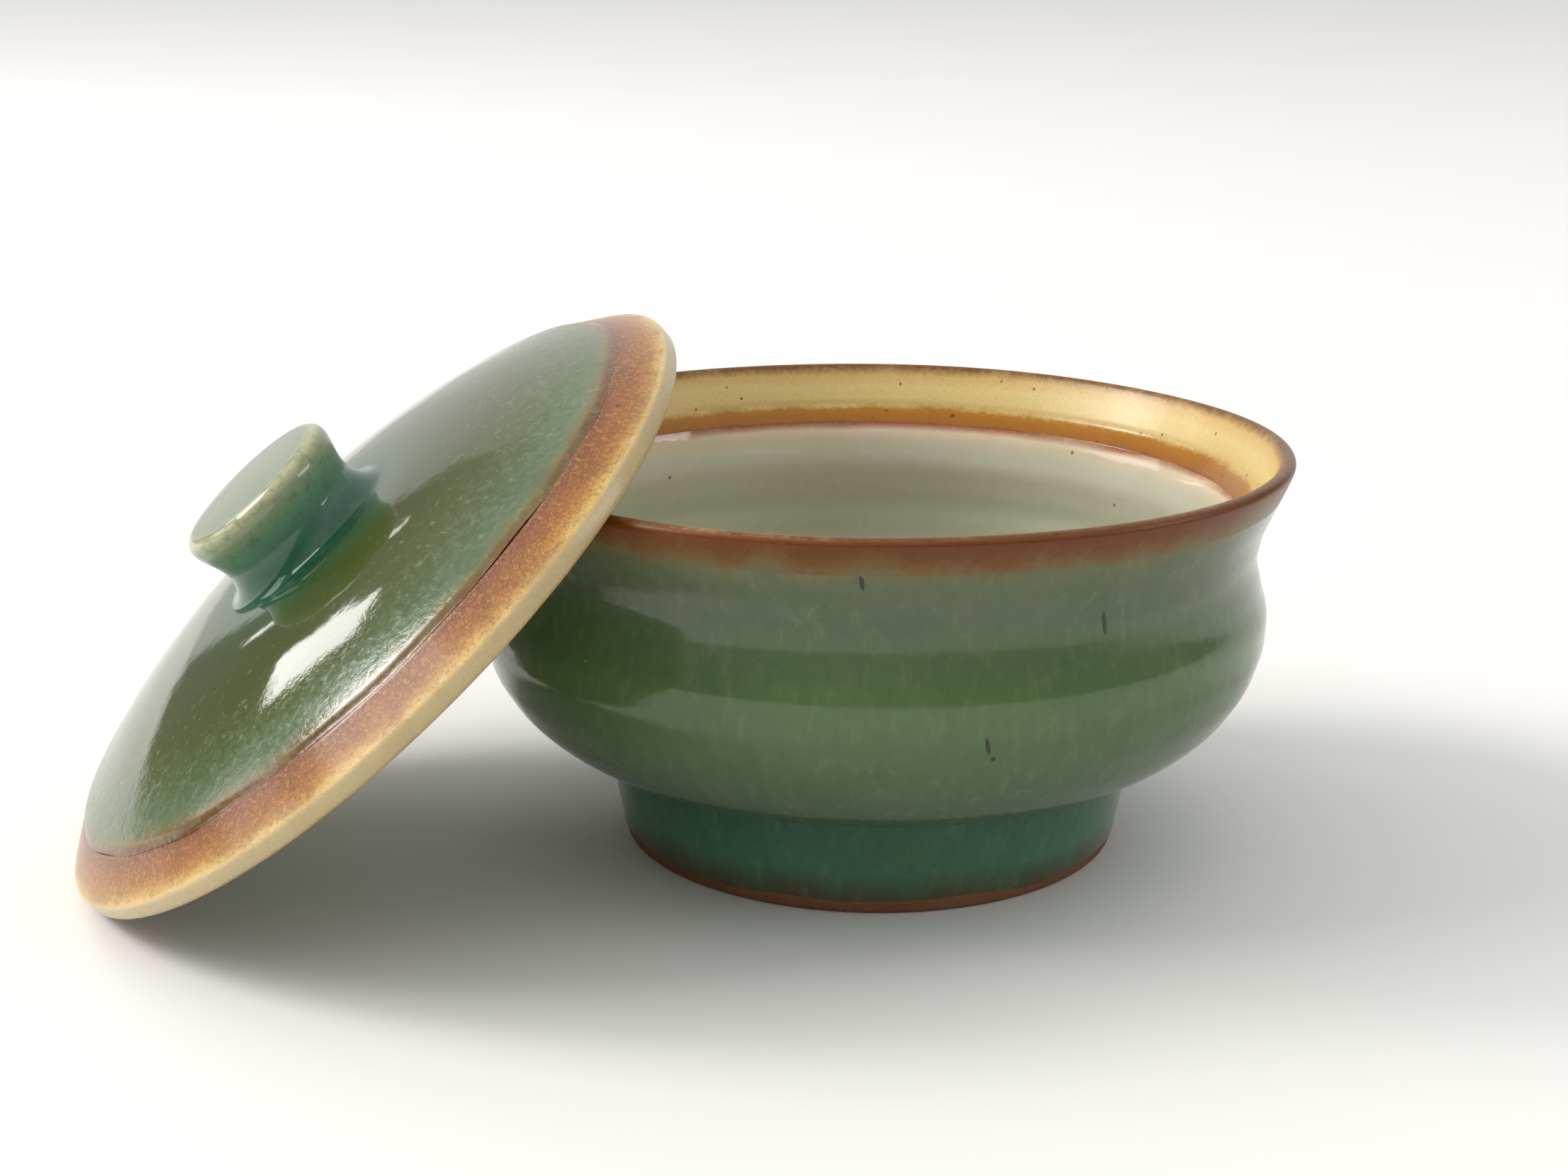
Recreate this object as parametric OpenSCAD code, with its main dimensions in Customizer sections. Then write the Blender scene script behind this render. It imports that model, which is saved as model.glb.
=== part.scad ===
// Lidded rice bowl of thrown stoneware: an open bowl on a foot ring, and its domed lid
// leaning against the rim. Z is up, the bowl's axis is the Z axis, and Z = 0 is the table.
// Every solid is a body of revolution; lengths are in millimetres.

/* [Bowl outside] */
// Largest radius of the flared lip
rim_radius = 65; // [60:0.5:70]
// Height of the lip's crest above the table
bowl_height = 64; // [60:0.5:68]
// Radius of the rounded lip
lip_round = 1.25; // [0.8:0.05:1.6]
// Smallest radius of the waist under the lip
waist_radius = 60.1; // [57:0.1:61]
// Height of the waist
waist_height = 48.1; // [45:0.1:50]
// Largest radius of the belly
belly_radius = 62.1; // [60.5:0.1:64]
// Height of the belly's widest point
belly_height = 37.6; // [34:0.1:40]
// Radius where the belly meets the foot
crease_radius = 42.4; // [40:0.1:45]
// Height where the belly meets the foot
crease_height = 15.3; // [13:0.1:17]
// How far round its ellipse the belly curves before the foot cuts it off
belly_fullness = 0.97; // [0.9:0.01:0.99]

/* [Bowl inside] */
// Inner radius at the foot of the flared flange that the lid rests on
seat_radius = 59.5; // [58:0.1:60]
// Height of the foot of that flange
seat_height = 57.2; // [56:0.1:58]
// Inner radius of the step under the flange, where the liner glaze starts
step_radius = 56.9; // [55.5:0.1:57.5]
// Height of that step
step_height = 54.5; // [53:0.1:55.5]
// Thickness of the wall at the waist
wall = 4.4; // [3.8:0.1:5]
// Height of the floor inside, at the middle
floor_height = 13; // [12:0.1:15]
// Exponent of the inside curve: higher is squarer
inside_fullness = 2.5; // [2:0.1:3]

/* [Foot ring] */
// Outer radius of the foot at the table
foot_radius = 39.6; // [37:0.1:41]
// Inner radius of the foot at the table
foot_inner_radius = 34.5; // [33:0.1:36]
// Radius of the foot's lower edges
foot_round = 1.1; // [0.6:0.1:1.6]
// Height of the floor's underside above the table
foot_recess = 7.5; // [5:0.1:8.5]
// Height of the joint between foot ring and bowl
foot_joint = 10; // [9:0.1:11]

/* [Glaze] */
// Thickness of the green glaze
glaze = 0.45; // [0.3:0.05:0.7]
// Thickness of the liner glaze
liner = 0.4; // [0.3:0.05:0.6]
// Height of the green glaze's lower edge above the table
glaze_low = 2.2; // [1.6:0.1:4]
// Height of the green glaze's upper edge, under the lip
glaze_high = 58.6; // [56:0.1:60]

/* [Lid] */
// Outer radius of the lid
lid_radius = 61.1; // [60.4:0.1:61.6]
// Radius of the lid's lower outer edge
lid_edge_round = 1; // [0.5:0.1:1.3]
// Height of the upright part of the lid's edge
lid_edge_height = 2.4; // [2:0.1:3]
// Radius of the green glaze's outer edge on the lid
lid_glaze_radius = 54.9; // [52:0.1:56]
// Height of the dome above the lid's underside
dome_height = 15.5; // [14:0.1:16.5]
// Radius of curvature of the dome
dome_curve = 107; // [100:1:115]
// Radius of the flat part in the middle of the dome
dome_flat_radius = 14.3; // [13:0.1:16]
// Thickness of the lid under the knob
lid_thickness = 4.1; // [3.6:0.1:4.6]
// Inner radius of the flat ring under the lid's edge
lid_ring_radius = 57.2; // [56.4:0.1:57.6]

/* [Knob] */
// Height of the knob's top above the lid's underside
knob_top = 27.9; // [25:0.1:31]
// Largest radius of the knob
knob_radius = 13.5; // [12.5:0.1:15]
// Radius of the knob's rounded top edge
knob_round = 1.9; // [1:0.1:2.4]
// Rise of the knob's slightly domed top
knob_crown = 0.3; // [0:0.1:1]
// Radius of the knob's waist
knob_waist = 12.2; // [11:0.1:12.6]
// Height of the knob's waist above the lid's underside
knob_waist_height = 19.8; // [18:0.1:21]
// Radius where the knob runs out into the dome
knob_root = 15.6; // [14.8:0.1:16.5]

/* [Lid, leaning] */
// Angle of the leaning lid from level
lid_tilt = 41.6; // [40:0.1:43]
// Compass turn of the lean about Z: 0 leans from straight left of the bowl
lid_heading = 17; // [13:0.1:17]
// Centre of the lid's underside, left of the bowl's axis
lid_left = 75.7; // [75.5:0.1:78]
// Centre of the lid's underside, in front of the bowl's axis
lid_front = 18.5; // [18.2:0.1:20]

/* [Hidden] */
$fn = 128;
clay_colour = [0.72, 0.52, 0.33];
green_colour = [0.36, 0.47, 0.36];
liner_colour = [0.63, 0.64, 0.53];
glaze_run = 1.2; // length over which a glaze edge rolls up to full thickness
lid_centre_height = (lid_radius - lid_edge_round) * sin(lid_tilt)
  + lid_edge_round * (1 - cos(lid_tilt)); // puts the lid's lowest edge on the table

// Points of an arc from angle a0 to a1, in n steps
function arc(centre, r, a0, a1, n) =
  [for (i = [0:n]) centre + r * [cos(a0 + (a1 - a0) * i / n), sin(a0 + (a1 - a0) * i / n)]];
// Slow-in, slow-out step from 0 to 1
function ease(t) = (1 - cos(180 * t)) / 2;
// A list the other way round
function flip(list) = [for (i = [len(list) - 1:-1:0]) list[i]];
// Items of a list from one index to another
function part_of(list, first, last) = [for (i = [first:last]) list[i]];
// Left-hand normal of a polyline at one of its points
function left_normal(line, i) =
  let (a = line[max(i - 1, 0)], b = line[min(i + 1, len(line) - 1)], d = (b - a) / norm(b - a))
  [-d[1], d[0]];
// Polyline moved to its left by t everywhere except that it comes back to the line at its ends
function under_glaze(line, t) = [for (i = [0:len(line) - 1])
  line[i] + left_normal(line, i) * t * (i == 0 || i == len(line) - 1 ? 0 : 1)];

// Bowl's outer radius at height z, from the crease up to the lip
function belly_curve(u) = (1 - sqrt(1 - pow(belly_fullness * u, 2)))
  / (1 - sqrt(1 - pow(belly_fullness, 2)));
function outer_radius(z) =
  z < belly_height ? belly_radius - (belly_radius - crease_radius)
    * belly_curve((belly_height - z) / (belly_height - crease_height))
  : z < waist_height ? belly_radius - (belly_radius - waist_radius)
    * ease((z - belly_height) / (waist_height - belly_height))
  : let (t = (z - waist_height) / (bowl_height - lip_round - waist_height))
    waist_radius + (rim_radius - waist_radius) * t * t * (2 - t);
// Foot's outer radius at height z
function foot_outer(z) = foot_radius + (crease_radius - foot_radius) * z / crease_height;
// Bowl's inner radius from the floor up to the step, at the finished surface
function inner_radius(z) =
  z < belly_height
    ? (belly_radius - wall) * pow(1 - pow((belly_height - z)
      / (belly_height - floor_height), inside_fullness), 1 / inside_fullness)
    : let (t = (z - belly_height) / (step_height - belly_height),
        top = outer_radius(step_height) - step_radius)
      outer_radius(z) - wall - (top - wall) * t * t;

// Outer surface under the green glaze's coat: lower glaze edge up to the upper one
glazed_outside = concat(
  [for (z = [glaze_low, glaze_low + glaze_run]) [foot_outer(z), z]],
  [for (i = [1:3]) let (z = glaze_low + glaze_run
    + (foot_joint - glaze_low - glaze_run) * i / 3) [foot_outer(z), z]],
  [for (i = [1:3]) let (z = foot_joint + (crease_height - foot_joint) * i / 3)
    [foot_outer(z), z]],
  [for (i = [1:12]) let (z = belly_height
    - (belly_height - crease_height) * pow(1 - i / 12, 1.5)) [outer_radius(z), z]],
  [for (i = [1:6]) let (z = belly_height + (waist_height - belly_height) * i / 6)
    [outer_radius(z), z]],
  [for (i = [1:6]) let (z = waist_height + (glaze_high - glaze_run - waist_height) * i / 6)
    [outer_radius(z), z]],
  [[outer_radius(glaze_high), glaze_high]]);
clay_outside = under_glaze(glazed_outside, glaze);
joint_index = 4; // item of the two lists above that lies at the foot joint
last_index = len(glazed_outside) - 1;

// Lip and flange, from the green glaze's upper edge round to the step
lip_centre = [rim_radius - lip_round, bowl_height - lip_round];
lip_line = concat(
  [for (i = [1:3]) let (z = glaze_high + (lip_centre[1] - glaze_high) * i / 4)
    [outer_radius(z), z]],
  arc(lip_centre, lip_round, 0, 150, 8),
  [[seat_radius + 0.3, seat_height + 0.9], [seat_radius, seat_height]],
  [[step_radius, step_height]]);

// Inside surface from the step down to the middle of the floor
inside = concat(
  [[step_radius, step_height]],
  [for (i = [1:8]) let (z = step_height - (step_height - belly_height) * i / 8)
    [inner_radius(z), z]],
  [for (i = [1:16]) let (a = 90 * i / 16, h = belly_height - floor_height)
    [(belly_radius - wall) * pow(cos(a), 2 / inside_fullness),
      belly_height - h * pow(sin(a), 2 / inside_fullness)]]);
clay_inside = [for (i = [0:len(inside) - 1])
  i == 0 ? inside[i]
  : i == len(inside) - 1 ? inside[i] - [0, liner]
  : inside[i] + left_normal(inside, i) * liner];

// Lid, seen level, with its underside at height 0
function dome(r, top) = r < dome_flat_radius ? top
  : top - dome_curve + sqrt(pow(dome_curve, 2) - pow(r - dome_flat_radius, 2));
knob_side = knob_top - knob_crown - knob_round; // where the rounded top edge starts
knob_line = concat(
  [for (i = [0:4]) let (r = (knob_radius - knob_round) * i / 4)
    [r, knob_top - knob_crown * pow(r / (knob_radius - knob_round), 2)]],
  part_of(arc([knob_radius - knob_round, knob_side], knob_round, 90, 0, 6), 1, 6),
  [for (i = [1:7]) [knob_radius - (knob_radius - knob_waist) * ease(i / 7),
    knob_side - (knob_side - knob_waist_height) * i / 7]],
  [for (i = [1:8]) let (a = 180 + 90 * i / 8)
    [knob_root + (knob_root - knob_waist) * cos(a),
      knob_waist_height + (knob_waist_height - dome_height) * sin(a)]]);
dome_line = [for (i = [1:14])
  let (r = knob_root + (lid_glaze_radius - glaze_run * 0.6 - knob_root) * i / 14)
  [r, dome(r, dome_height)]];
glaze_edge = [lid_glaze_radius, dome(lid_glaze_radius, dome_height) - glaze];
lid_glazed = concat(knob_line, dome_line, [glaze_edge]);
lid_clay = [for (i = [0:len(lid_glazed) - 1])
  i == 0 ? lid_glazed[i] - [0, glaze]
  : i == len(lid_glazed) - 1 ? lid_glazed[i]
  : lid_glazed[i] - left_normal(lid_glazed, i) * glaze];
root_index = len(knob_line) - 1;
lid_last = len(lid_glazed) - 1;
root = lid_clay[root_index];

// Orange band, edge and flat ring, from the glaze edge round to the hollow
band_angle = atan2(glaze_edge[1] - lid_edge_height, lid_radius - glaze_edge[0]);
lid_rim_line = concat(
  arc([lid_radius - lid_edge_round, lid_edge_height], lid_edge_round, 90 - band_angle, 0, 4),
  arc([lid_radius - lid_edge_round, lid_edge_round], lid_edge_round, 0, -90, 5),
  [[lid_ring_radius, 0]]);

// Hollow under the lid, from the flat ring to the middle
hollow_top = dome_height - lid_thickness;
hollow_radius = lid_ring_radius - 1.5;
hollow = concat(
  [for (i = [0:12]) let (r = hollow_radius * (1 - i / 16)) [r, dome(r, hollow_top)]],
  [[0, hollow_top]]);
clay_hollow = [for (i = [0:len(hollow) - 1])
  i == 0 ? hollow[i]
  : i == len(hollow) - 1 ? hollow[i] + [0, liner]
  : hollow[i] - left_normal(hollow, i) * liner];

// Puts the level lid into its leaning place, its lower edge on the table
module lean() {
  translate([-lid_left, -lid_front, lid_centre_height])
    rotate([0, 0, lid_heading])
      rotate([0, -lid_tilt, 0])
        children();
}

// Clay wall, floor and lip of the bowl
module bowl_body() {
  color(clay_colour)
    rotate_extrude()
      polygon(concat(
        [[0, foot_recess], [foot_inner_radius - 0.8, foot_recess],
          [foot_inner_radius - 0.8, foot_joint]],
        part_of(clay_outside, joint_index, last_index),
        lip_line,
        part_of(clay_inside, 1, len(clay_inside) - 1)));
}

// Clay ring the bowl stands on
module bowl_foot_ring() {
  color(clay_colour)
    rotate_extrude()
      polygon(concat(
        [[foot_inner_radius - 0.8, foot_joint], [foot_inner_radius - 0.8, foot_recess]],
        arc([foot_inner_radius + foot_round, foot_round], foot_round, 180, 270, 4),
        arc([foot_outer(0) - foot_round, foot_round], foot_round, 270, 360, 4),
        part_of(clay_outside, 0, joint_index)));
}

// Green glaze over the outside of bowl and foot
module bowl_outer_glaze() {
  color(green_colour)
    rotate_extrude()
      polygon(concat(glazed_outside, flip(part_of(clay_outside, 1, last_index - 1))));
}

// Pale glaze lining the inside of the bowl
module bowl_liner_glaze() {
  color(liner_colour)
    rotate_extrude()
      polygon(concat(inside, flip(part_of(clay_inside, 1, len(clay_inside) - 1))));
}

// Clay disc of the lid with its unglazed edge band
module lid_disc() {
  color(clay_colour)
    lean() rotate_extrude()
      polygon(concat(
        [[0, root[1]]],
        part_of(lid_clay, root_index, lid_last),
        lid_rim_line,
        clay_hollow));
}

// Clay knob on the middle of the lid
module lid_knob() {
  color(clay_colour)
    lean() rotate_extrude()
      polygon(concat([[0, root[1]]], part_of(lid_clay, 0, root_index)));
}

// Green glaze over knob and dome
module lid_top_glaze() {
  color(green_colour)
    lean() rotate_extrude()
      polygon(concat(lid_glazed, flip(part_of(lid_clay, 0, lid_last - 1))));
}

// Pale glaze in the hollow under the lid
module lid_underside_glaze() {
  color(liner_colour)
    lean() rotate_extrude()
      polygon(concat(hollow, flip(part_of(clay_hollow, 1, len(clay_hollow) - 1))));
}

bowl_body();
bowl_foot_ring();
bowl_outer_glaze();
bowl_liner_glaze();
lid_disc();
lid_knob();
lid_top_glaze();
lid_underside_glaze();
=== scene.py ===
import math

import bpy
import numpy as np
from mathutils import Matrix, Vector


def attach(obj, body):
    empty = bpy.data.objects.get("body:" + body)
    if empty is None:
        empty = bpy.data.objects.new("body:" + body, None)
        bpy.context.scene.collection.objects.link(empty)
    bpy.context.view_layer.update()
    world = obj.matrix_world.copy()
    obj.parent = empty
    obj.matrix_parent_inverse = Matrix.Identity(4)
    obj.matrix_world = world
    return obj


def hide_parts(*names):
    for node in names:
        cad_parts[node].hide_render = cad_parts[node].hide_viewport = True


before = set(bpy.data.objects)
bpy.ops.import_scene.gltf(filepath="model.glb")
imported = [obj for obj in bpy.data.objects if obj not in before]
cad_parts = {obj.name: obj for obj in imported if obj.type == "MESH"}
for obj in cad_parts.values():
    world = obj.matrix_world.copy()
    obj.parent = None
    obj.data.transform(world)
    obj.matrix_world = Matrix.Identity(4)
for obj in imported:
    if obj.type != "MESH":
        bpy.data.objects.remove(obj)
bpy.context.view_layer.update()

TURNS = 288  # steps round every thrown piece
MM = 0.001

# ---------------------------------------------------------------- profiles, in millimetres
RIM, HEIGHT, LIP = 65.0, 64.0, 1.25  # rim radius, bowl height, rounding of the lip
WAIST, WAIST_Z = 60.1, 48.1  # each pair: radius, height
BELLY, BELLY_Z = 62.1, 37.6
CREASE, CREASE_Z = 42.4, 15.3
FULL = 0.97  # how round the belly is below its widest height
SEAT, SEAT_Z = 59.5, 57.2  # lower end of the flange
STEP, STEP_Z = 56.9, 54.5  # inner edge of the amber step
WALL, FLOOR_Z, SQUARE = 4.4, 13.0, 2.5  # SQUARE: how square the inside is, 2 is round
FOOT, FOOT_IN, FOOT_ROUND, RECESS = 39.6, 34.5, 1.1, 7.5
JOINT_Z = 10.0  # where the foot ring meets the body
GLAZE, LINER = 0.45, 0.4  # thickness of the coats
LOW, HIGH = 2.2, 58.6  # ends of the outer glaze
LID, LID_ROUND, LID_SIDE = 61.1, 1.0, 2.4
LID_GLAZE = 54.9  # outer radius of the lid's glaze
DOME, CURVE, FLAT = 15.5, 107.0, 14.3  # height, radius of curvature, radius of the flat
LID_WALL, RING = 4.1, 57.2
KNOB_TOP, KNOB, KNOB_ROUND, CROWN = 27.9, 13.5, 1.9, 0.3
KNOB_WAIST, KNOB_WAIST_Z, ROOT = 12.2, 19.8, 15.6
TILT, HEADING = math.radians(41.6), math.radians(17.0)
LEFT, FRONT = 75.7, 18.5  # the leaning lid's middle from the bowl's axis
SKY_LOW, SKY_HIGH, SKY_BACK = 0.24, 0.90, 0.84  # brightness of the surroundings
FLOOR_RADIUS = 8  # metres
LAMPS_AIM = 0.04  # height in metres that the lamps face
CAMERA_BACK, CAMERA_UP, LENS = 0.3634, 0.1416, 54.08  # metres, metres, millimetres


def ease(t):
    """0 to 1 with a soft start and end."""
    return (1 - math.cos(math.pi * t)) / 2


def belly(u):
    """How far the belly has drawn in, 0 to 1, from its widest height down to the crease."""
    return (1 - math.sqrt(1 - (FULL * u) ** 2)) / (1 - math.sqrt(1 - FULL**2))


def outer(z):
    """Finished outer radius of the bowl at height z."""
    if z < CREASE_Z:
        return FOOT + (CREASE - FOOT) * z / CREASE_Z
    if z < BELLY_Z:
        return BELLY - (BELLY - CREASE) * belly((BELLY_Z - z) / (BELLY_Z - CREASE_Z))
    if z < WAIST_Z:
        return BELLY - (BELLY - WAIST) * ease((z - BELLY_Z) / (WAIST_Z - BELLY_Z))
    t = (z - WAIST_Z) / (HEIGHT - LIP - WAIST_Z)
    return WAIST + (RIM - WAIST) * t * t * (2 - t)


def inner(z):
    """Finished inner radius of the bowl at height z, from floor to step."""
    if z < BELLY_Z:
        u = (BELLY_Z - z) / (BELLY_Z - FLOOR_Z)
        return (BELLY - WALL) * (1 - u**SQUARE) ** (1 / SQUARE)
    t = (z - BELLY_Z) / (STEP_Z - BELLY_Z)
    top = outer(STEP_Z) - STEP
    return outer(z) - WALL - (top - WALL) * t * t


def dome(r, top):
    """Height of the lid's dome at radius r."""
    return top if r < FLAT else top - CURVE + math.sqrt(CURVE**2 - (r - FLAT) ** 2)


def span(a, b, n):
    """n + 1 even steps from a to b."""
    return [a + (b - a) * i / n for i in range(n + 1)]


def arc(x, y, r, a0, a1, n):
    """Points on a circle about (x, y), angles in degrees."""
    return [
        (x + r * math.cos(math.radians(a)), y + r * math.sin(math.radians(a)))
        for a in span(a0, a1, n)
    ]


def even(line, pitch):
    """The polyline with points no further apart than pitch."""
    out = [line[0]]
    for a, b in zip(line, line[1:]):
        n = max(1, math.ceil(math.dist(a, b) / pitch))
        out += [(a[0] + (b[0] - a[0]) * i / n, a[1] + (b[1] - a[1]) * i / n)
                for i in range(1, n + 1)]
    return out


def soften(line, times=2):
    """Corner cutting: rounds every corner a little, ends kept."""
    for _ in range(times):
        cut = [line[0]]
        for a, b in zip(line, line[1:]):
            cut.append((a[0] * 0.75 + b[0] * 0.25, a[1] * 0.75 + b[1] * 0.25))
            cut.append((a[0] * 0.25 + b[0] * 0.75, a[1] * 0.25 + b[1] * 0.75))
        line = [*cut, line[-1]]
    return line


def thin_out(line, pitch):
    """The polyline with points at least pitch apart, ends kept."""
    out = [line[0]]
    for p in line[1:-1]:
        if math.dist(p, out[-1]) >= pitch:
            out.append(p)
    return [*out, line[-1]]


def inset(line, depth, roll):
    """The line moved to its left by depth, running out to nothing over roll at its ends."""
    p = np.array(line)
    d = np.gradient(p, axis=0)
    d /= np.linalg.norm(d, axis=1)[:, None]
    s = np.concatenate([[0], np.cumsum(np.linalg.norm(np.diff(p, axis=0), axis=1))])
    near = np.minimum(s, s[-1] - s) / roll
    t = depth * np.sqrt(np.clip(1 - (1 - np.clip(near, 0, 1)) ** 2, 0, 1))
    n = np.stack([-d[:, 1], d[:, 0]], 1)
    q = p + n * t[:, None]
    q[:, 0] = np.maximum(q[:, 0], 0)
    return [tuple(v) for v in q]


# ---------------------------------------------------------------- surfaces of revolution
def bowl_wobble(a, r, z):
    """Hand-thrown unevenness of the bowl in millimetres: (radial, vertical)."""
    rise = np.clip((z - 12) / 50, 0, 1)
    rings = np.clip((z - 18) / 8, 0, 1) * np.clip((60 - z) / 6, 0, 1)
    radial = rise * (0.16 * np.cos(2 * a + 0.7) + 0.08 * np.cos(3 * a + 2.0))
    radial = radial + 0.05 * np.sin(z * 1.15 + 0.8 * np.sin(a)) * rings
    radial = radial + 0.035 * np.sin(5 * a + z * 0.21) * rise
    vertical = rise**3 * (0.12 * np.cos(2 * a + 1.9) + 0.06 * np.cos(5 * a))
    return radial, vertical


def lid_wobble(a, r, z):
    """Unevenness of the lid in millimetres."""
    out = np.clip(r / 60, 0, 1)
    rings = np.clip((r - 16) / 10, 0, 1) * np.clip((56 - r) / 6, 0, 1)
    vertical = (out * 0.06 * np.cos(2 * a + 0.4)
                + 0.012 * np.sin(r * 0.62 + 0.5 * np.sin(a + 1)) * rings)
    radial = 0.05 * np.cos(3 * a) * out
    return radial, vertical * np.clip(z / 4, 0, 1)


def thrown(name, line, closed, wobble, edge=None, place=None):
    """Solid of revolution about local Z from a profile in mm: a closed loop, or a line from axis
    to axis. edge(angle, radius, z) may move points along the profile before the wobble."""
    p = np.array(line)
    nxt = np.roll(p, -1, axis=0)
    if (p[:, 0] * nxt[:, 1] - nxt[:, 0] * p[:, 1]).sum() < 0:
        p = p[::-1]  # so that faces look outwards
    poles = [] if closed else [0, len(p) - 1]
    a = np.linspace(0, 2 * math.pi, TURNS, endpoint=False)
    verts, start = [], {}
    for i in range(len(p)):
        r, z = p[i]
        start[i] = len(verts)
        if i in poles:
            verts.append((0.0, 0.0, z * MM))
            continue
        rr, zz = np.full(TURNS, r), np.full(TURNS, z)
        if edge:
            dr, dz = edge(a, rr, zz)
            rr, zz = rr + dr, zz + dz
        dr, dz = wobble(a, rr, zz)
        rr, zz = rr + dr, zz + dz
        verts += list(zip(rr * np.cos(a) * MM, rr * np.sin(a) * MM, zz * MM))
    faces = []
    pairs = list(zip(range(len(p)), range(1, len(p)))) + ([(len(p) - 1, 0)] if closed else [])
    for i, j in pairs:
        si, sj = start[i], start[j]
        for k in range(TURNS):
            m = (k + 1) % TURNS
            if i in poles:
                faces.append((si, sj + m, sj + k))
            elif j in poles:
                faces.append((si + k, si + m, sj))
            else:
                faces.append((si + k, si + m, sj + m, sj + k))
    mesh = bpy.data.meshes.new(name)
    mesh.from_pydata([tuple(map(float, v)) for v in verts], [], faces)
    if place is not None:
        mesh.transform(place)
    mesh.polygons.foreach_set("use_smooth", [True] * len(mesh.polygons))
    mesh.set_sharp_from_angle(angle=math.radians(50))
    mesh.update()
    piece = bpy.data.objects.new(name, mesh)
    bpy.context.scene.collection.objects.link(piece)
    return piece


def lid_place():
    """Where the leaning lid's own frame is; its edge rests on the table."""
    rise = (LID - LID_ROUND) * math.sin(TILT) + LID_ROUND * (1 - math.cos(TILT))
    return (Matrix.Translation(Vector((-LEFT, -FRONT, rise)) * MM)
            @ Matrix.Rotation(HEADING, 4, "Z") @ Matrix.Rotation(-TILT, 4, "Y"))


PLACE = lid_place()


# ---------------------------------------------------------------- shader building
def tone(r, g, b):
    """A colour given as 0 to 255 screen values."""
    lin = [((v / 255) / 12.92 if v <= 10 else ((v / 255 + 0.055) / 1.055) ** 2.4)
           for v in (r, g, b)]
    return (*lin, 1.0)


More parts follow.
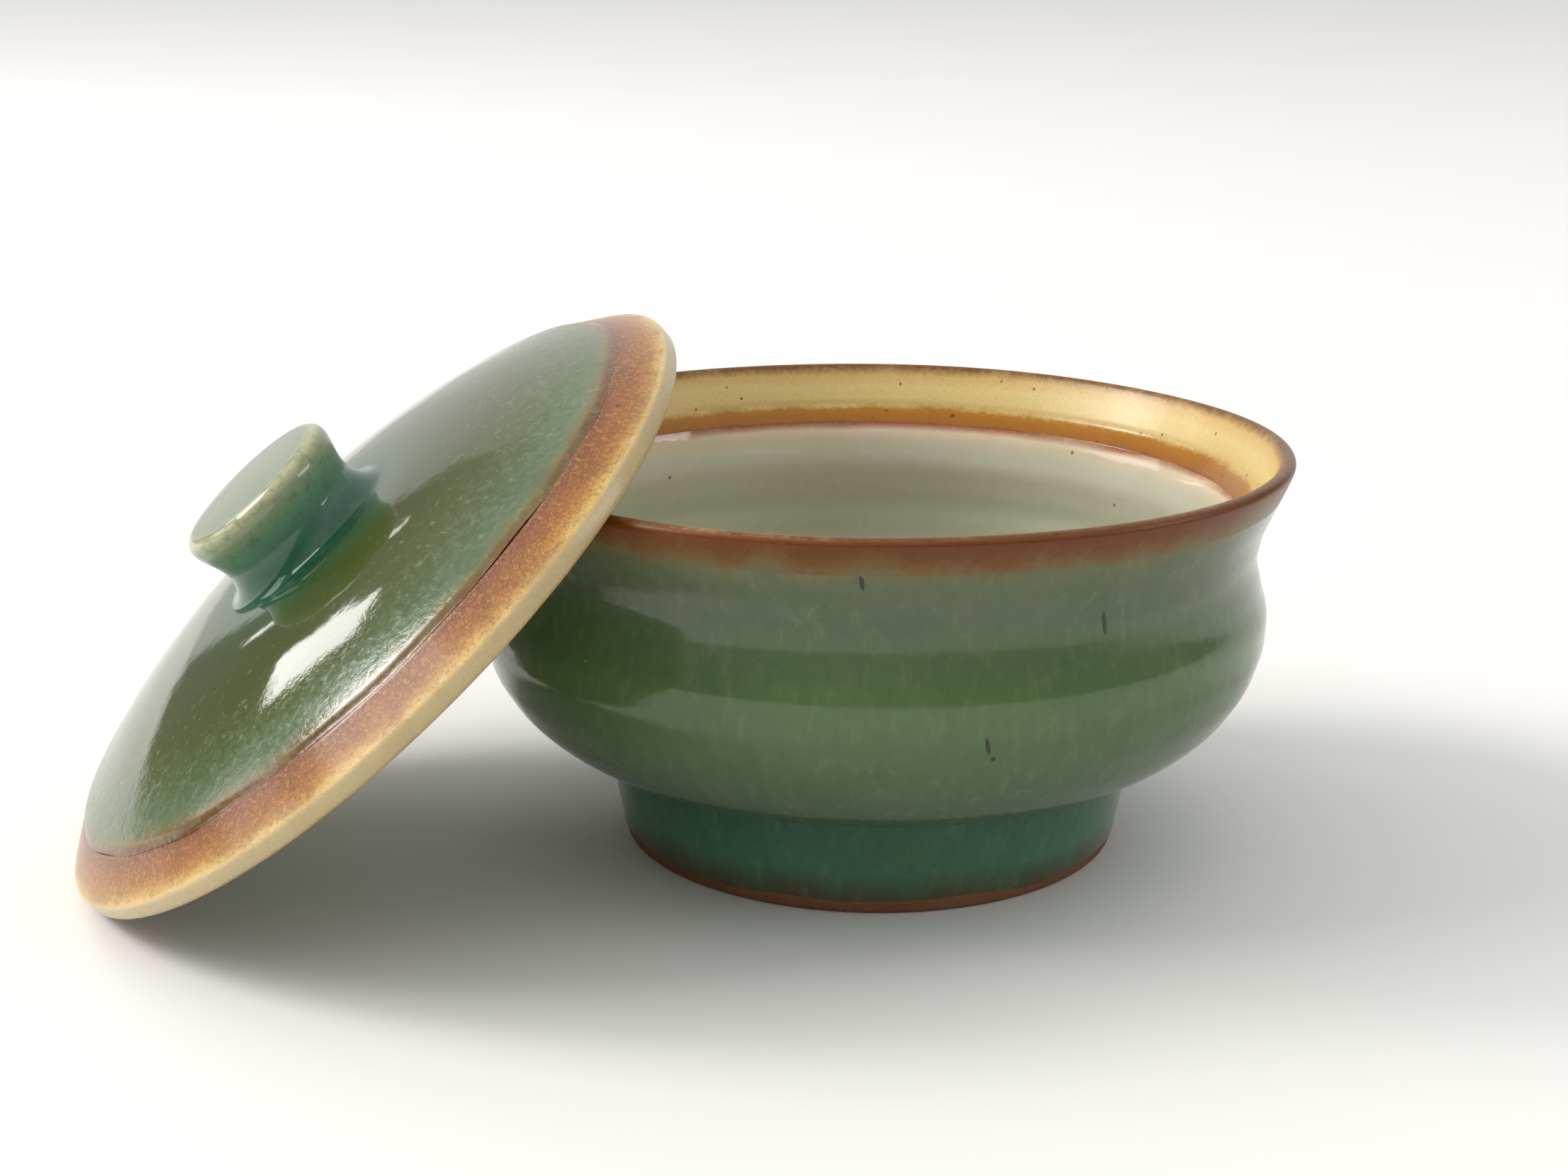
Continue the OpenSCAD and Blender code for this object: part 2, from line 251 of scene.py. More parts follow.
class Net:
    """A material's node tree, with short calls for the nodes used here."""

    def __init__(self, name, place=None):
        self.material = bpy.data.materials.new(name)
        self.material.use_nodes = True
        self.tree = self.material.node_tree
        self.tree.nodes.clear()
        out = self.tree.nodes.new("ShaderNodeOutputMaterial")
        self.shader = self.tree.nodes.new("ShaderNodeBsdfPrincipled")
        self.tree.links.new(self.shader.outputs[0], out.inputs[0])
        coord = self.tree.nodes.new("ShaderNodeTexCoord")
        own = coord.outputs["Object"]
        if place is not None:  # the lid's own frame, from where it leans
            back = place.inverted()
            turn = self.tree.nodes.new("ShaderNodeMapping")
            turn.inputs["Location"].default_value = back.to_translation()
            turn.inputs["Rotation"].default_value = back.to_euler("XYZ")
            self.put(turn.inputs["Vector"], own)
            own = turn.outputs[0]
        scale = self.tree.nodes.new("ShaderNodeVectorMath")
        scale.operation = "SCALE"
        self.put(scale.inputs[0], own)
        scale.inputs["Scale"].default_value = 1 / MM
        self.mm = scale.outputs[0]
        split = self.tree.nodes.new("ShaderNodeSeparateXYZ")
        self.put(split.inputs[0], self.mm)
        self.x, self.y, self.z = split.outputs
        flat = self.tree.nodes.new("ShaderNodeCombineXYZ")
        self.put(flat.inputs[0], self.x)
        self.put(flat.inputs[1], self.y)
        length = self.tree.nodes.new("ShaderNodeVectorMath")
        length.operation = "LENGTH"
        self.put(length.inputs[0], flat.outputs[0])
        self.r = length.outputs["Value"]

    def put(self, socket, value):
        if isinstance(value, bpy.types.NodeSocket):
            self.tree.links.new(value, socket)
        else:
            socket.default_value = value

    def noise(self, size, detail=2.0, rough=0.5, warp=0.0, vector=None):
        """Noise of 0 to 1 with features about size mm across."""
        n = self.tree.nodes.new("ShaderNodeTexNoise")
        self.put(n.inputs["Vector"], vector or self.mm)
        n.inputs["Scale"].default_value = 1 / size
        n.inputs["Detail"].default_value = detail
        n.inputs["Roughness"].default_value = rough
        n.inputs["Distortion"].default_value = warp
        return n.outputs[0]

    def cells(self, size, feature, random):
        n = self.tree.nodes.new("ShaderNodeTexVoronoi")
        n.feature = feature
        self.put(n.inputs["Vector"], self.mm)
        n.inputs["Scale"].default_value = 1 / size
        n.inputs["Randomness"].default_value = random
        return n.outputs["Distance"]

    def cell_value(self, size):
        """Distance to the nearest cell's middle, and a random number for that cell."""
        n = self.tree.nodes.new("ShaderNodeTexVoronoi")
        self.put(n.inputs["Vector"], self.mm)
        n.inputs["Scale"].default_value = 1 / size
        split = self.tree.nodes.new("ShaderNodeSeparateColor")
        self.put(split.inputs[0], n.outputs["Color"])
        return n.outputs["Distance"], split.outputs[0]

    def calc(self, op, a, b=None):
        n = self.tree.nodes.new("ShaderNodeMath")
        n.operation = op
        self.put(n.inputs[0], a)
        if b is not None:
            self.put(n.inputs[1], b)
        return n.outputs[0]

    def fit(self, value, a, b, c=0.0, d=1.0, smooth=True):
        """value from a..b to c..d, clamped."""
        n = self.tree.nodes.new("ShaderNodeMapRange")
        n.interpolation_type = "SMOOTHSTEP" if smooth else "LINEAR"
        n.clamp = True
        self.put(n.inputs["Value"], value)
        for k, v in zip(("From Min", "From Max", "To Min", "To Max"), (a, b, c, d)):
            n.inputs[k].default_value = v
        return n.outputs[0]

    def sway(self, value, noise, amount):
        """value moved by up to half of amount either way, as the noise says."""
        shift = self.calc("MULTIPLY", self.calc("SUBTRACT", noise, 0.5), amount)
        return self.calc("ADD", value, shift)

    def ramp(self, value, lo, hi, stops):
        """Colour by value, stops given in the value's own units."""
        f = self.fit(value, lo, hi, smooth=False)
        n = self.tree.nodes.new("ShaderNodeValToRGB")
        self.put(n.inputs[0], f)
        e = n.color_ramp.elements
        while len(e) < len(stops):
            e.new(0.5)
        for item, (at, colour) in zip(e, stops):
            item.position = (at - lo) / (hi - lo)
            item.color = colour
        return n.outputs[0]

    def mix(self, f, a, b):
        """Colour a at factor 0, b at factor 1."""
        n = self.tree.nodes.new("ShaderNodeMix")
        n.data_type = "RGBA"
        self.put(n.inputs["Factor"], f)
        self.put(n.inputs[6], a)
        self.put(n.inputs[7], b)
        return n.outputs[2]

    def stretched(self, sx, sy, sz):
        n = self.tree.nodes.new("ShaderNodeVectorMath")
        n.operation = "MULTIPLY"
        self.put(n.inputs[0], self.mm)
        n.inputs[1].default_value = (sx, sy, sz)
        return n.outputs[0]

    def bump(self, height, depth):
        """Relief of depth mm between heights 0 and 1."""
        n = self.tree.nodes.new("ShaderNodeBump")
        n.inputs["Strength"].default_value = 1.0
        n.inputs["Distance"].default_value = depth * MM
        self.put(n.inputs["Height"], height)
        self.put(self.shader.inputs["Normal"], n.outputs[0])

    def finish(self, colour, rough, ior=1.5, coat=0.0, coat_rough=0.05):
        s = self.shader.inputs
        self.put(s["Base Color"], colour)
        self.put(s["Roughness"], rough)
        s["IOR"].default_value = ior
        s["Coat Weight"].default_value = coat
        s["Coat Roughness"].default_value = coat_rough
        return self.material


def specks(n, size, keep, radius, soft=0.35):
    """Scattered round spots: a share `keep` of cells of `size` mm, each about `radius` mm."""
    dist, pick = n.cell_value(size)
    spot = n.fit(dist, radius / size, radius / size * (1 - soft))
    return n.calc("MULTIPLY", spot, n.calc("GREATER_THAN", pick, 1 - keep))


def dotted(n, colour, paint, strength, size, keep, radius):
    """The colour with specks of paint over it."""
    spot = n.calc("MULTIPLY", specks(n, size, keep, radius), strength)
    return n.mix(spot, colour, paint)


def near_zero(n, value, size):
    """(value / size) squared: below 1 within size of zero."""
    return n.calc("POWER", n.calc("DIVIDE", value, size), 2.0)


def lip_height(n, fine):
    """Height in mm with the uneven lower edge that the lip's brown has."""
    wave = n.noise(9, 2, 0.5, 0.3, vector=n.stretched(1, 1, 0.4))
    return n.sway(n.sway(n.z, wave, 5.0), fine, 2.6)


def lip_colours(n, wander):
    """Colours by height shared by the glaze's upper end and the bare lip, so they meet."""
    return n.ramp(wander, 50.0, 66.0, [
        (50.0, tone(86, 100, 74)),
        (56.4, tone(96, 106, 76)),
        (58.6, tone(114, 104, 66)),
        (60.0, tone(118, 84, 40)),
        (61.4, tone(112, 62, 8)),
        (63.0, tone(106, 50, 2)),
        (64.4, tone(112, 64, 12)),
    ])


FLECKS = (-1.3, 57.6, 1.3), (32.1, 49.2, 1.9), (16.2, 33.8, 1.4)  # x, z, half height in mm
FLECK_WIDE, FLECK_LEAN = 0.38, 0.14


def green_glaze_bowl():
    """Outer glaze: brown at the foot, teal in the crease, green body, grey-green to brown lip."""
    n = Net("green_glaze_bowl")
    broad = n.noise(14, 3, 0.55, 0.4)
    fine = n.noise(1.1, 3, 0.6)
    grain = n.noise(0.35, 2, 0.6)
    wander = lip_height(n, fine)
    body = n.ramp(wander, 0.0, 52.0, [
        (1.0, tone(88, 58, 32)),
        (3.6, tone(74, 84, 58)),
        (7.0, tone(66, 118, 94)),
        (14.0, tone(50, 96, 74)),
        (18.0, tone(62, 86, 62)),
        (27.0, tone(84, 104, 70)),
        (38.0, tone(84, 112, 62)),
        (52.0, tone(88, 102, 74)),
    ])
    top = lip_colours(n, wander)
    colour = n.mix(n.fit(wander, 48.0, 52.0), body, top)
    runs = n.noise(1.7, 3, 0.6, 0.3, vector=n.stretched(1, 1, 0.35))
    colour = n.mix(n.fit(broad, 0.35, 0.7, 0.0, 0.4), colour, tone(66, 96, 62))
    colour = n.mix(n.fit(runs, 0.5, 0.8, 0.0, 0.26), colour, tone(126, 142, 104))
    colour = n.mix(n.fit(runs, 0.48, 0.25, 0.0, 0.2), colour, tone(58, 82, 48))
    colour = n.mix(n.fit(grain, 0.55, 0.8, 0.0, 0.25), colour, tone(60, 66, 38))
    crackle = n.cells(2.6, "DISTANCE_TO_EDGE", 0.9)
    lines = n.calc("MULTIPLY", n.fit(crackle, 0.035, 0.0), n.fit(broad, 0.56, 0.72, 0.0, 0.16))
    colour = n.mix(lines, colour, tone(140, 154, 106))
    colour = dotted(n, colour, tone(34, 40, 22), 0.9, 9.0, 0.16, 0.5)
    for x, z, tall in FLECKS:
        rise = n.calc("SUBTRACT", n.z, z)
        across = n.calc("ADD", n.calc("SUBTRACT", n.x, x), n.calc("MULTIPLY", rise, FLECK_LEAN))
        far = n.calc("ADD", near_zero(n, across, FLECK_WIDE), near_zero(n, rise, tall))
        mark = n.fit(n.calc("ADD", far, fine), 1.7, 0.9)
        mark = n.calc("MULTIPLY", mark, n.calc("LESS_THAN", n.y, 0.0))
        colour = n.mix(n.calc("MULTIPLY", mark, 0.9), colour, tone(30, 34, 16))
    pins = specks(n, 5.0, 0.12, 0.45, 0.6)
    colour = n.mix(n.calc("MULTIPLY", pins, 0.45), colour, tone(176, 182, 148))
    peel = n.noise(3.4, 2, 0.45)
    height = n.calc("ADD", n.calc("MULTIPLY", peel, 0.5), n.calc("MULTIPLY", fine, 0.1))
    height = n.calc("SUBTRACT", height, n.calc("MULTIPLY", pins, 0.25))
    n.bump(height, 0.08)
    rough = n.fit(fine, 0.3, 0.8, 0.10, 0.24)
    return n.finish(colour, rough, 1.5, 0.1, 0.04)


def lip_clay():
    """The bowl's bare-looking lip and flange: thin honey glaze over clay, amber near the step."""
    n = Net("lip_and_flange")
    fine = n.noise(1.0, 3, 0.65)
    grain = n.noise(0.4, 2, 0.6)
    wave = n.noise(8, 2, 0.5)
    wander = n.sway(n.z, wave, 1.3)
    soft = n.sway(wander, fine, 1.2)
    inside = n.ramp(soft, 54.0, 65.0, [
        (54.2, tone(130, 70, 30)),
        (54.8, tone(150, 92, 10)),
        (55.8, tone(158, 100, 6)),
        (56.6, tone(166, 112, 14)),
        (57.5, tone(212, 184, 116)),
        (60.5, tone(220, 196, 130)),
        (62.4, tone(212, 176, 108)),
        (63.9, tone(108, 64, 10)),
    ])
    outside = lip_colours(n, lip_height(n, n.noise(1.1, 3, 0.6)))
    # radius halfway through the lip at this height: inside colours within it, outside beyond
    flange = n.calc("ADD", n.calc("MULTIPLY", n.z, 0.584), 25.87)
    colour = n.mix(n.fit(n.calc("SUBTRACT", n.r, flange), 0.8, 1.7), inside, outside)
    colour = n.mix(n.fit(grain, 0.5, 0.78, 0.0, 0.26), colour, tone(140, 84, 30))
    colour = dotted(n, colour, tone(96, 52, 22), 0.75, 2.6, 0.3, 0.36)
    colour = dotted(n, colour, tone(70, 40, 18), 0.7, 5.0, 0.2, 0.6)
    height = n.calc("ADD", n.calc("MULTIPLY", n.noise(1.8, 2, 0.5), 0.5),
                    n.calc("MULTIPLY", grain, 0.25))
    n.bump(height, 0.08)
    return n.finish(colour, n.fit(n.z, 56.4, 57.8, 0.12, 0.34), 1.4, 0.05, 0.05)


def foot_clay():
    """Unglazed brown clay of the foot ring's base and recess."""
    n = Net("foot_clay")
    fine = n.noise(0.7, 4, 0.7)
    broad = n.noise(10, 2, 0.5)
    colour = n.mix(fine, tone(104, 66, 40), tone(150, 104, 66))
    colour = n.mix(n.fit(broad, 0.3, 0.75, 0.0, 0.5), colour, tone(120, 62, 34))
    colour = dotted(n, colour, tone(60, 38, 24), 0.8, 1.6, 0.3, 0.3)
    n.bump(fine, 0.18)
    return n.finish(colour, n.fit(fine, 0.2, 0.8, 0.6, 0.85), 1.45)


def liner_glaze():
    """Pale grey-green inside, with a pinkish then brown line under the step."""
    n = Net("liner_glaze")
    broad = n.noise(16, 2, 0.5, 0.3)
    fine = n.noise(1.4, 3, 0.6)
    wander = n.sway(n.z, n.noise(10, 1, 0.5), 0.7)
    wall = n.ramp(wander, 12.0, 55.0, [
        (13.0, tone(172, 176, 150)),
        (26.0, tone(180, 184, 160)),
        (40.0, tone(194, 196, 176)),
        (50.0, tone(204, 202, 184)),
        (53.2, tone(226, 206, 180)),
        (54.0, tone(186, 124, 96)),
        (54.6, tone(136, 76, 40)),
    ])
    colour = n.mix(n.fit(broad, 0.4, 0.7, 0.0, 0.25), wall, tone(186, 188, 152))
    colour = n.mix(n.fit(fine, 0.5, 0.8, 0.0, 0.18), colour, tone(228, 224, 198))
    colour = dotted(n, colour, tone(92, 66, 38), 0.7, 6.0, 0.25, 0.42)
    height = n.calc("ADD", n.noise(3.2, 2, 0.4), n.calc("MULTIPLY", fine, 0.12))
    n.bump(height, 0.09)
    return n.finish(colour, n.fit(fine, 0.3, 0.8, 0.08, 0.16), 1.5, 0.4, 0.03)


def green_glaze_lid():
    """Knob and dome: pooled teal at the knob's waist, glossy green, pale mottling outwards."""
    n = Net("green_glaze_lid", PLACE)
    broad = n.noise(13, 3, 0.55, 0.5)
    fine = n.noise(1.3, 3, 0.62, 0.2)
    grain = n.noise(0.5, 2, 0.6)
    wave = n.noise(6, 2, 0.5)
    rr = n.sway(n.r, wave, 1.8)
    rr = n.sway(rr, fine, 1.2)
    base = n.ramp(rr, 10.0, 58.0, [
        (12.0, tone(54, 84, 62)),
        (17.0, tone(46, 78, 44)),
        (26.0, tone(58, 68, 22)),
        (40.0, tone(66, 76, 24)),
        (50.0, tone(78, 96, 56)),
        (52.8, tone(100, 106, 66)),
        (53.9, tone(126, 96, 52)),
        (54.6, tone(112, 66, 24)),
        (55.4, tone(100, 54, 12)),
    ])
    blotch = n.noise(1.5, 4, 0.7, 0.3)
    pale = n.calc("MULTIPLY", n.fit(blotch, 0.46, 0.62), n.fit(rr, 34.0, 51.0, 0.0, 0.42))
    colour = n.mix(pale, base, tone(110, 126, 98))
    flecks = n.calc("MULTIPLY", n.fit(fine, 0.58, 0.7), n.fit(rr, 20.0, 48.0, 0.08, 0.4))
    colour = n.mix(flecks, colour, tone(142, 154, 124))
    colour = n.mix(n.fit(broad, 0.42, 0.7, 0.0, 0.35), colour, tone(56, 76, 32))
    colour = n.mix(n.fit(grain, 0.58, 0.8, 0.0, 0.25), colour, tone(50, 54, 30))
    teal = n.calc("MULTIPLY", n.fit(rr, 46.0, 50.5), n.fit(rr, 53.6, 51.5, 0.0, 0.22))
    colour = n.mix(teal, colour, tone(80, 108, 84))
    knob = n.ramp(n.z, 14.0, 29.0, [
        (14.5, tone(26, 72, 46)),
        (18.0, tone(36, 96, 72)),
        (22.0, tone(106, 148, 120)),
        (25.6, tone(150, 164, 126)),
        (27.2, tone(178, 176, 138)),
        (27.9, tone(140, 150, 120)),
    ])
    knob = n.mix(n.fit(n.noise(1.7, 4, 0.7), 0.46, 0.66, 0.0, 0.4), knob, tone(60, 110, 88))
    disc = n.mix(n.fit(n.r, 12.6, 10.6), knob, tone(118, 130, 102))
    disc = n.mix(n.fit(fine, 0.5, 0.75, 0.0, 0.35), disc, tone(142, 148, 116))
    top = n.mix(n.fit(n.z, 25.8, 27.2), knob, disc)
    knob_part = n.calc("MULTIPLY", n.fit(n.z, 13.8, 16.0), n.fit(n.r, 17.0, 14.8))
    colour = n.mix(knob_part, colour, top)
    colour = dotted(n, colour, tone(36, 28, 16), 0.85, 7.0, 0.2, 0.5)
    rough_out = n.fit(rr, 38.0, 52.0, 0.04, 1.0)
    height = n.calc("ADD", n.calc("MULTIPLY", n.noise(3.6, 2, 0.45), 0.35),
                    n.calc("MULTIPLY", n.calc("MULTIPLY", fine, 0.8), rough_out))
    n.bump(height, 0.08)
    rough = n.fit(n.calc("MULTIPLY", fine, rough_out), 0.1, 0.8, 0.06, 0.26)
    return n.finish(colour, rough, 1.5, 0.1, 0.03)


def lid_clay():
    """Orange-brown gritty band, bright cream arris, pale side, and the ring underneath."""
    n = Net("lid_clay", PLACE)
    fine = n.noise(0.8, 4, 0.7)
    grit = n.noise(0.32, 3, 0.7)
    wave = n.noise(7, 2, 0.5)
    rr = n.sway(n.r, wave, 0.9)
    rr = n.sway(rr, fine, 0.7)
    band = n.ramp(rr, 54.0, 62.0, [
        (54.6, tone(120, 66, 18)),
        (55.4, tone(122, 60, 0)),
        (56.6, tone(144, 80, 0)),
        (58.0, tone(156, 92, 0)),
        (59.3, tone(180, 124, 36)),
        (60.3, tone(214, 174, 96)),
        (60.9, tone(226, 196, 132)),
    ])
    side = n.ramp(n.z, 0.0, 4.0, [
        (0.0, tone(180, 144, 96)),
        (0.8, tone(204, 184, 136)),
        (2.4, tone(214, 194, 146)),
        (3.0, tone(230, 202, 146)),
    ])
    colour = n.mix(n.fit(n.r, 60.7, 61.05), band, side)
    under = n.mix(fine, tone(150, 104, 60), tone(190, 146, 92))
    colour = n.mix(n.fit(n.z, 0.35, 0.05), colour, under)
    sand = n.noise(0.6, 3, 0.75)
    top = n.fit(n.r, 61.2, 60.2, 0.12, 1.0)  # little of the sand shows on the side
    worn = n.fit(n.noise(9, 3, 0.6, 0.4), 0.44, 0.66, 0.0, 0.5)
    colour = n.mix(n.calc("MULTIPLY", worn, top), colour, tone(118, 64, 6))
    dark_sand = n.calc("MULTIPLY", n.fit(sand, 0.5, 0.62, 0.0, 0.5), top)
    colour = n.mix(dark_sand, colour, tone(130, 66, 4))
    pale_sand = n.calc("MULTIPLY", n.fit(sand, 0.48, 0.36, 0.0, 0.42), top)
    colour = n.mix(pale_sand, colour, tone(216, 162, 74))
    colour = dotted(n, colour, tone(104, 60, 28), 0.6, 3.4, 0.12, 0.3)
    colour = dotted(n, colour, tone(60, 34, 16), 0.75, 6.0, 0.25, 0.6)
    height = n.calc("ADD", n.calc("MULTIPLY", grit, 0.8), n.calc("MULTIPLY", fine, 0.6))
    n.bump(height, 0.19)
    return n.finish(colour, n.fit(grit, 0.3, 0.7, 0.18, 0.34), 1.42, 0.4, 0.14)


def lid_liner():
    """Grey-green glaze in the hollow under the lid, painted darker than its own pale colour as
    shade under the leaning lid; brown where it thins at the ring.
    """
    n = Net("lid_liner_glaze", PLACE)
    fine = n.noise(1.6, 3, 0.6)
    broad = n.noise(18, 2, 0.5, 0.3)
    # both grey-green tones are darkened: painted shade for the hollow under the leaning lid
    colour = n.mix(n.fit(broad, 0.3, 0.7), tone(136, 140, 108), tone(120, 128, 96))
    colour = n.mix(n.fit(fine, 0.5, 0.8, 0.0, 0.25), colour, tone(160, 162, 128))
    colour = n.mix(n.fit(n.r, 53.8, 55.6), colour, tone(120, 82, 40))
    colour = dotted(n, colour, tone(92, 66, 38), 0.7, 6.0, 0.25, 0.42)
    n.bump(n.calc("ADD", n.noise(3.0, 2, 0.4), n.calc("MULTIPLY", fine, 0.15)), 0.09)
    return n.finish(colour, n.fit(fine, 0.3, 0.8, 0.09, 0.18), 1.5, 0.4, 0.03)


# ---------------------------------------------------------------- the bowl
outside = [(outer(z), z) for z in span(LOW, CREASE_Z, 14)]
rise = [BELLY_Z - (BELLY_Z - CREASE_Z) * (1 - t) ** 1.5 for t in span(0, 1, 40)[1:]]
outside += [(outer(z), z) for z in [*rise, *span(BELLY_Z, HIGH, 28)[1:]]]
outside = thin_out(soften(outside, 1), 0.45)
under_green = inset(outside, GLAZE, 1.2)

lip = [(outer(z), z) for z in span(HIGH, HEIGHT - LIP, 7)[1:-1]]
lip += arc(RIM - LIP, HEIGHT - LIP, LIP, 0, 150, 12)
lip += [(SEAT + 0.3, SEAT_Z + 0.9), (SEAT, SEAT_Z), (STEP, STEP_Z)]
lip = thin_out(soften(even([outside[-1], *lip], 0.7), 2), 0.28)[1:]

inside = [(inner(z), z) for z in span(STEP_Z, BELLY_Z, 24)]
inside += [((BELLY - WALL) * math.cos(a) ** (2 / SQUARE),
            BELLY_Z - (BELLY_Z - FLOOR_Z) * math.sin(a) ** (2 / SQUARE))
           for a in span(0, math.pi / 2, 60)[1:]]
inside = [*inside[:-1], (0.0, FLOOR_Z)]
under_liner = inset(inside, LINER, 1.2)
under_liner[-1] = (0.0, FLOOR_Z - LINER)


def seam_low(a, r, z):
    """Uneven lower edge of the outer glaze on the foot."""
    near = np.clip(1 - (z - LOW) / 3, 0, 1)
    waves = 0.22 * np.sin(4 * a + 1) + 0.16 * np.sin(9 * a) + 0.1 * np.sin(17 * a + 2)
    return 0 * a, near * waves


clay_line = [(0.0, RECESS), (12, RECESS), (FOOT_IN - 0.8, RECESS), (FOOT_IN - 0.8, JOINT_Z)]
clay_line += [p for p in under_green if p[1] > JOINT_Z][:-1] + [outside[-1]]
clay_line += lip + under_liner[1:]
bowl_clay = thrown("bowl_clay_body", clay_line, False, bowl_wobble)

foot_line = [(FOOT_IN - 0.8, JOINT_Z), (FOOT_IN - 0.8, RECESS)]
foot_line += even([(FOOT_IN - 0.8, RECESS), (FOOT_IN, FOOT_ROUND)], 1.5)[1:-1]
foot_line += arc(FOOT_IN + FOOT_ROUND, FOOT_ROUND, FOOT_ROUND, 180, 270, 8)
foot_line += arc(FOOT - FOOT_ROUND, FOOT_ROUND, FOOT_ROUND, 270, 360, 8)
foot_line += [p for p in under_green if p[1] <= JOINT_Z] + [(outer(JOINT_Z) - GLAZE, JOINT_Z)]
foot = thrown("bowl_foot", foot_line, True, bowl_wobble)

green = thrown("bowl_green_glaze", [*outside, *under_green[-2:0:-1]], True, bowl_wobble, seam_low)
liner = thrown("bowl_liner", [*inside[::-1], *under_liner[1:]], False, bowl_wobble)


# ---------------------------------------------------------------- the lid, level, then leaning
side_z = KNOB_TOP - CROWN - KNOB_ROUND
knob_line = [(r, KNOB_TOP - CROWN * (r / (KNOB - KNOB_ROUND)) ** 2)
             for r in span(0, KNOB - KNOB_ROUND, 14)]
knob_line += arc(KNOB - KNOB_ROUND, side_z, KNOB_ROUND, 90, 0, 14)[1:]
knob_line += [(KNOB - (KNOB - KNOB_WAIST) * ease(t), side_z - (side_z - KNOB_WAIST_Z) * t)
              for t in span(0, 1, 16)[1:]]
knob_line += [(ROOT + (ROOT - KNOB_WAIST) * math.cos(a),
               KNOB_WAIST_Z + (KNOB_WAIST_Z - DOME) * math.sin(a))
              for a in span(math.pi, 1.5 * math.pi, 14)[1:]]
dome_line = [(r, dome(r, DOME)) for r in span(ROOT, LID_GLAZE - 1.3, 60)[1:]]
edge_z = dome(LID_GLAZE, DOME) - GLAZE
roll = dome_line[-1]
bead = [(roll[0] + (LID_GLAZE - roll[0]) * t, roll[1] + (edge_z - roll[1]) * (t + ease(t)) / 2)
        for t in span(0, 1, 8)[1:]]
lid_top = [*knob_line, *dome_line, *bead]
under_top = [(x, z) for x, z in inset(list(reversed(lid_top)), GLAZE, 1.0)][::-1]
under_top[0] = (0.0, KNOB_TOP - GLAZE)


def seam_lid(a, r, z):
    """Uneven outer edge of the lid's glaze, moved along the dome."""
    near = np.clip((r - 51.5) / 3.4, 0, 1)
    out = near * (0.2 * np.sin(3 * a + 2) + 0.16 * np.sin(8 * a + 1) + 0.1 * np.sin(19 * a))
    return out, -0.42 * out


lid_glaze = thrown("lid_green_glaze", [*lid_top, *under_top[-2::-1]], False, lid_wobble, seam_lid,
                   PLACE)

root_i = len(knob_line) - 1
band_a = math.degrees(math.atan2(edge_z - LID_SIDE, LID - LID_GLAZE))
lid_edge = arc(LID - LID_ROUND, LID_SIDE, LID_ROUND, 90 - band_a, 0, 10)
lid_edge += arc(LID - LID_ROUND, LID_ROUND, LID_ROUND, 0, -90, 10)
lid_edge = even([(LID_GLAZE, edge_z), *lid_edge, (RING, 0)], 0.7)
hollow = [(r, dome(r, DOME - LID_WALL)) for r in span(RING - 1.5, 0, 50)]
under_hollow = [(x, z) for x, z in inset(list(reversed(hollow)), LINER, 1.0)][::-1]
under_hollow[-1] = (0.0, DOME - LID_WALL + LINER)
clay_top = [(0.0, under_top[root_i][1]), *under_top[root_i:-1], (LID_GLAZE - 0.1, edge_z)]
lid_disc = thrown("lid_clay_disc", [*clay_top, *lid_edge, *under_hollow], False, lid_wobble,
                  place=PLACE)
lid_under = thrown("lid_liner", [*hollow[::-1], *under_hollow[1:]], False, lid_wobble,
                   place=PLACE)

for piece, body, slot, nodes, material in (
    (bowl_clay, "bowl", "clay", ["bowl_body"], lip_clay()),
    (foot, "bowl", "foot_clay", ["bowl_foot_ring"], foot_clay()),
    (green, "bowl", "green_glaze", ["bowl_outer_glaze"], green_glaze_bowl()),
    (liner, "bowl", "liner_glaze", ["bowl_liner_glaze"], liner_glaze()),
    (lid_glaze, "lid", "lid_green_glaze", ["lid_top_glaze", "lid_knob"], green_glaze_lid()),
    (lid_disc, "lid", "lid_clay", ["lid_disc"], lid_clay()),
    (lid_under, "lid", "lid_liner_glaze", ["lid_underside_glaze"], lid_liner()),
):
    piece.data.materials.append(material)
    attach(piece, body)
    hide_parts(*nodes)


# ---------------------------------------------------------------- floor, light and camera
def floor():
    """Plain pale disc under everything."""
    n = Net("pale_floor")
    tint = n.mix(n.noise(240, 2, 0.5), tone(238, 238, 236), tone(242, 242, 240))
    n.finish(tint, 0.9)
    ring = [(math.cos(a) * FLOOR_RADIUS, math.sin(a) * FLOOR_RADIUS, 0)
            for a in span(0, 2 * math.pi, 96)[:-1]]
    mesh = bpy.data.meshes.new("floor")
    mesh.from_pydata(ring, [], [list(range(len(ring)))])
    mesh.materials.append(n.material)
    o = bpy.data.objects.new("floor", mesh)
    bpy.context.scene.collection.objects.link(o)


def lamp(name, azimuth, elevation, distance, width, height, power, colour):
    """Rectangular light facing the bowl. Azimuth 0 is the camera's side, 90 is +X."""
    a, e = math.radians(azimuth), math.radians(elevation)
    toward = Vector((math.sin(a) * math.cos(e), -math.cos(a) * math.cos(e), math.sin(e)))
    data = bpy.data.lights.new(name, "AREA")
    data.shape = "RECTANGLE"
    data.size, data.size_y = width, height
    data.energy = power
    data.color = colour
    o = bpy.data.objects.new(name, data)
    o.location = toward * distance + Vector((0, 0, LAMPS_AIM))
    o.rotation_euler = toward.to_track_quat("Z", "Y").to_euler()
    bpy.context.scene.collection.objects.link(o)


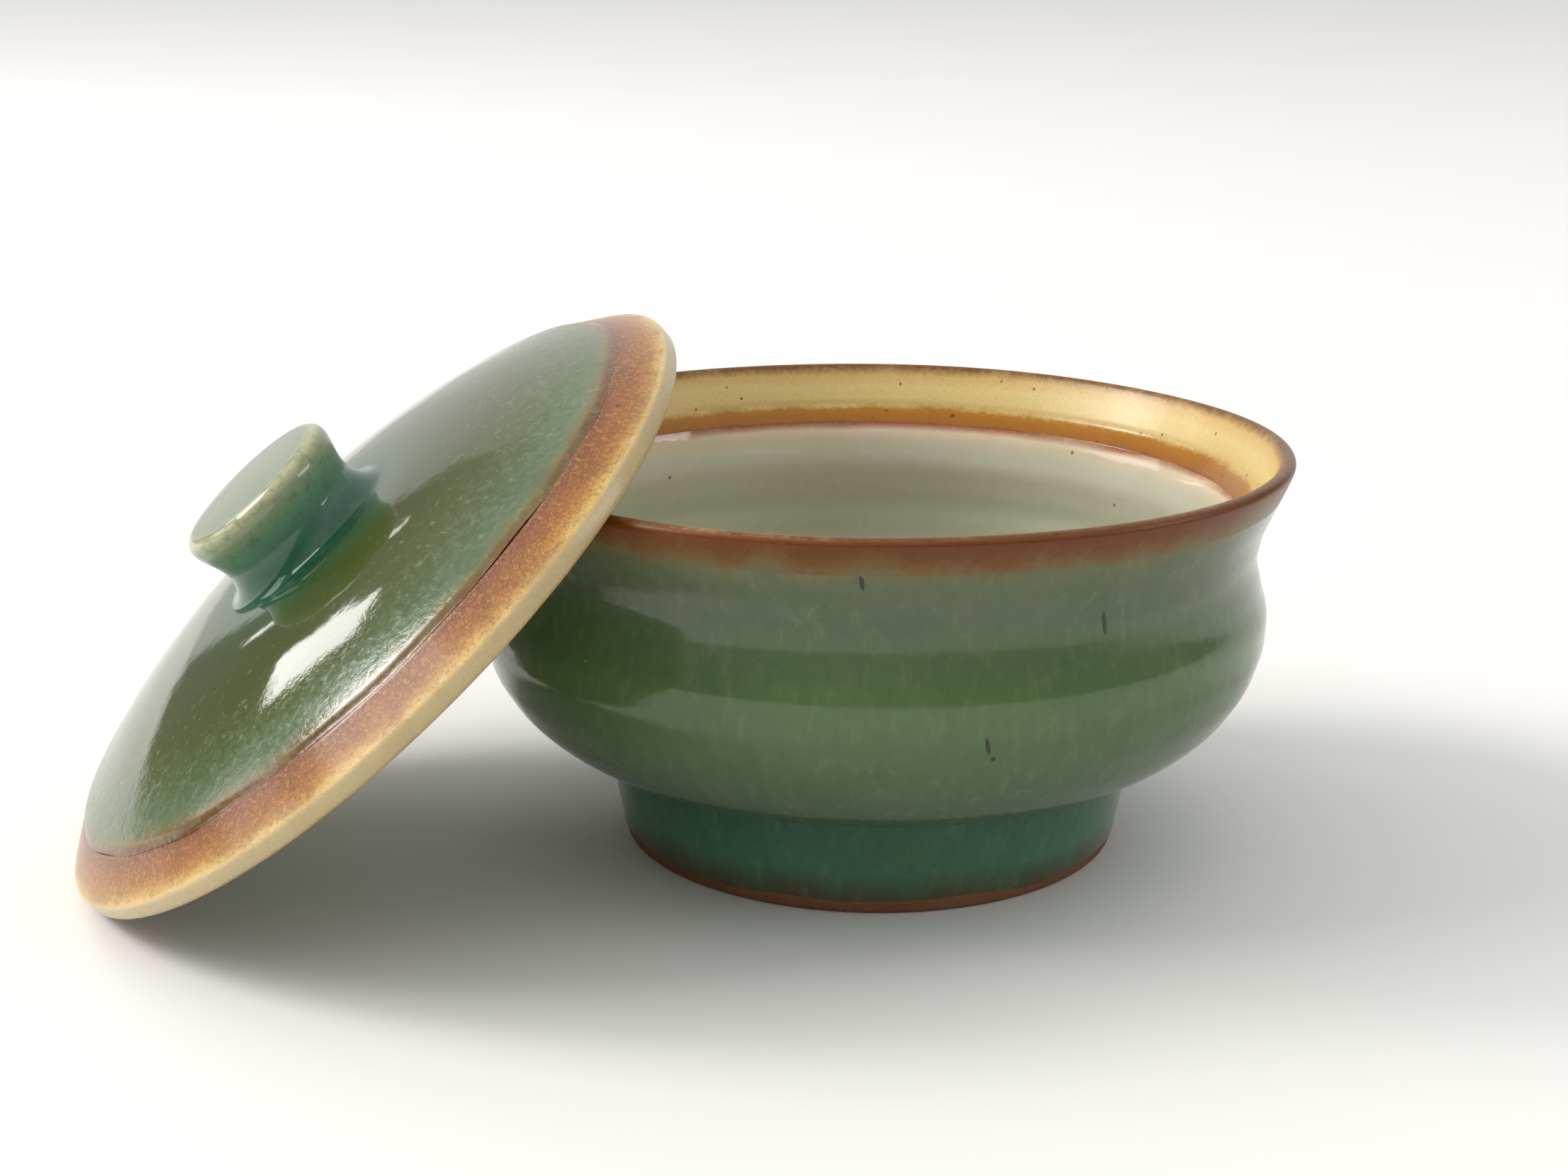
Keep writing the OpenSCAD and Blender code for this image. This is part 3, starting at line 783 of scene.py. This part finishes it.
def sky():
    """Soft studio surroundings: bright above and behind, dim low down on the near side."""
    world = bpy.data.worlds.new("studio")
    bpy.context.scene.world = world
    world.use_nodes = True
    t = world.node_tree
    t.nodes.clear()

    def node(kind, **settings):
        made = t.nodes.new(kind)
        for k, v in settings.items():
            setattr(made, k, v)
        return made

    def fit(value, a, b, c, d):
        made = node("ShaderNodeMapRange", interpolation_type="SMOOTHSTEP")
        for k, v in zip(("From Min", "From Max", "To Min", "To Max"), (a, b, c, d)):
            made.inputs[k].default_value = v
        t.links.new(value, made.inputs["Value"])
        return made.outputs[0]

    out, back = node("ShaderNodeOutputWorld"), node("ShaderNodeBackground")
    coord, split = node("ShaderNodeTexCoord"), node("ShaderNodeSeparateXYZ")
    t.links.new(coord.outputs["Generated"], split.inputs[0])
    level, side = node("ShaderNodeVectorMath", operation="MULTIPLY"), node("ShaderNodeSeparateXYZ")
    level.inputs[1].default_value = (1, 1, 0)
    t.links.new(coord.outputs["Generated"], level.inputs[0])
    unit = node("ShaderNodeVectorMath", operation="NORMALIZE")
    t.links.new(level.outputs[0], unit.inputs[0])
    t.links.new(unit.outputs[0], side.inputs[0])
    above = fit(split.outputs[2], 0.22, 0.8, SKY_LOW, SKY_HIGH)
    behind = fit(side.outputs[1], 0.80, 0.82, 0.0, SKY_BACK)
    both = node("ShaderNodeMath", operation="MAXIMUM")
    t.links.new(above, both.inputs[0])
    t.links.new(behind, both.inputs[1])
    t.links.new(both.outputs[0], back.inputs["Strength"])
    back.inputs["Color"].default_value = (1.0, 0.99, 0.97, 1)
    t.links.new(back.outputs[0], out.inputs[0])


def camera():
    """The photo's view: slightly above the rim, looking a little to the left."""
    pitch, yaw, roll = math.radians(15.75), math.radians(-2.21), math.radians(0.34)
    ahead = Vector((math.sin(yaw) * math.cos(pitch), math.cos(yaw) * math.cos(pitch),
                    -math.sin(pitch)))
    right = Vector((math.cos(yaw), -math.sin(yaw), 0))
    above = right.cross(ahead)
    r2 = math.cos(roll) * right + math.sin(roll) * above
    u2 = -math.sin(roll) * right + math.cos(roll) * above
    data = bpy.data.cameras.new("camera")
    data.lens, data.sensor_width = LENS, 36.0
    data.clip_start, data.clip_end = 0.01, 50
    o = bpy.data.objects.new("camera", data)
    o.matrix_world = Matrix((
        (r2.x, u2.x, -ahead.x, 0.0),
        (r2.y, u2.y, -ahead.y, -CAMERA_BACK),
        (r2.z, u2.z, -ahead.z, CAMERA_UP),
        (0, 0, 0, 1),
    ))
    bpy.context.scene.collection.objects.link(o)
    bpy.context.scene.camera = o


floor()
lamp("softbox", -84, 38, 6.0, 3.0, 2.4, 140, (1.0, 0.98, 0.95))
lamp("window_back_left", -122, 21.5, 1.6, 0.17, 0.29, 1.1, (1.0, 0.99, 0.96))
lamp("window_frame", -136, 15, 1.6, 0.035, 0.42, 0.16, (1.0, 0.99, 0.96))
lamp("window_high_left", -99, 34, 2.4, 0.7, 0.6, 20, (1.0, 0.96, 0.94))
lamp("window_left", -89, 14, 2.2, 1.8, 0.38, 5.0, (0.98, 0.98, 1.0))
lamp("window_right", 84, 24, 2.2, 1.0, 0.3, 4.0, (0.95, 0.97, 1.0))
sky()
camera()
bpy.context.scene.view_settings.view_transform = "Standard"
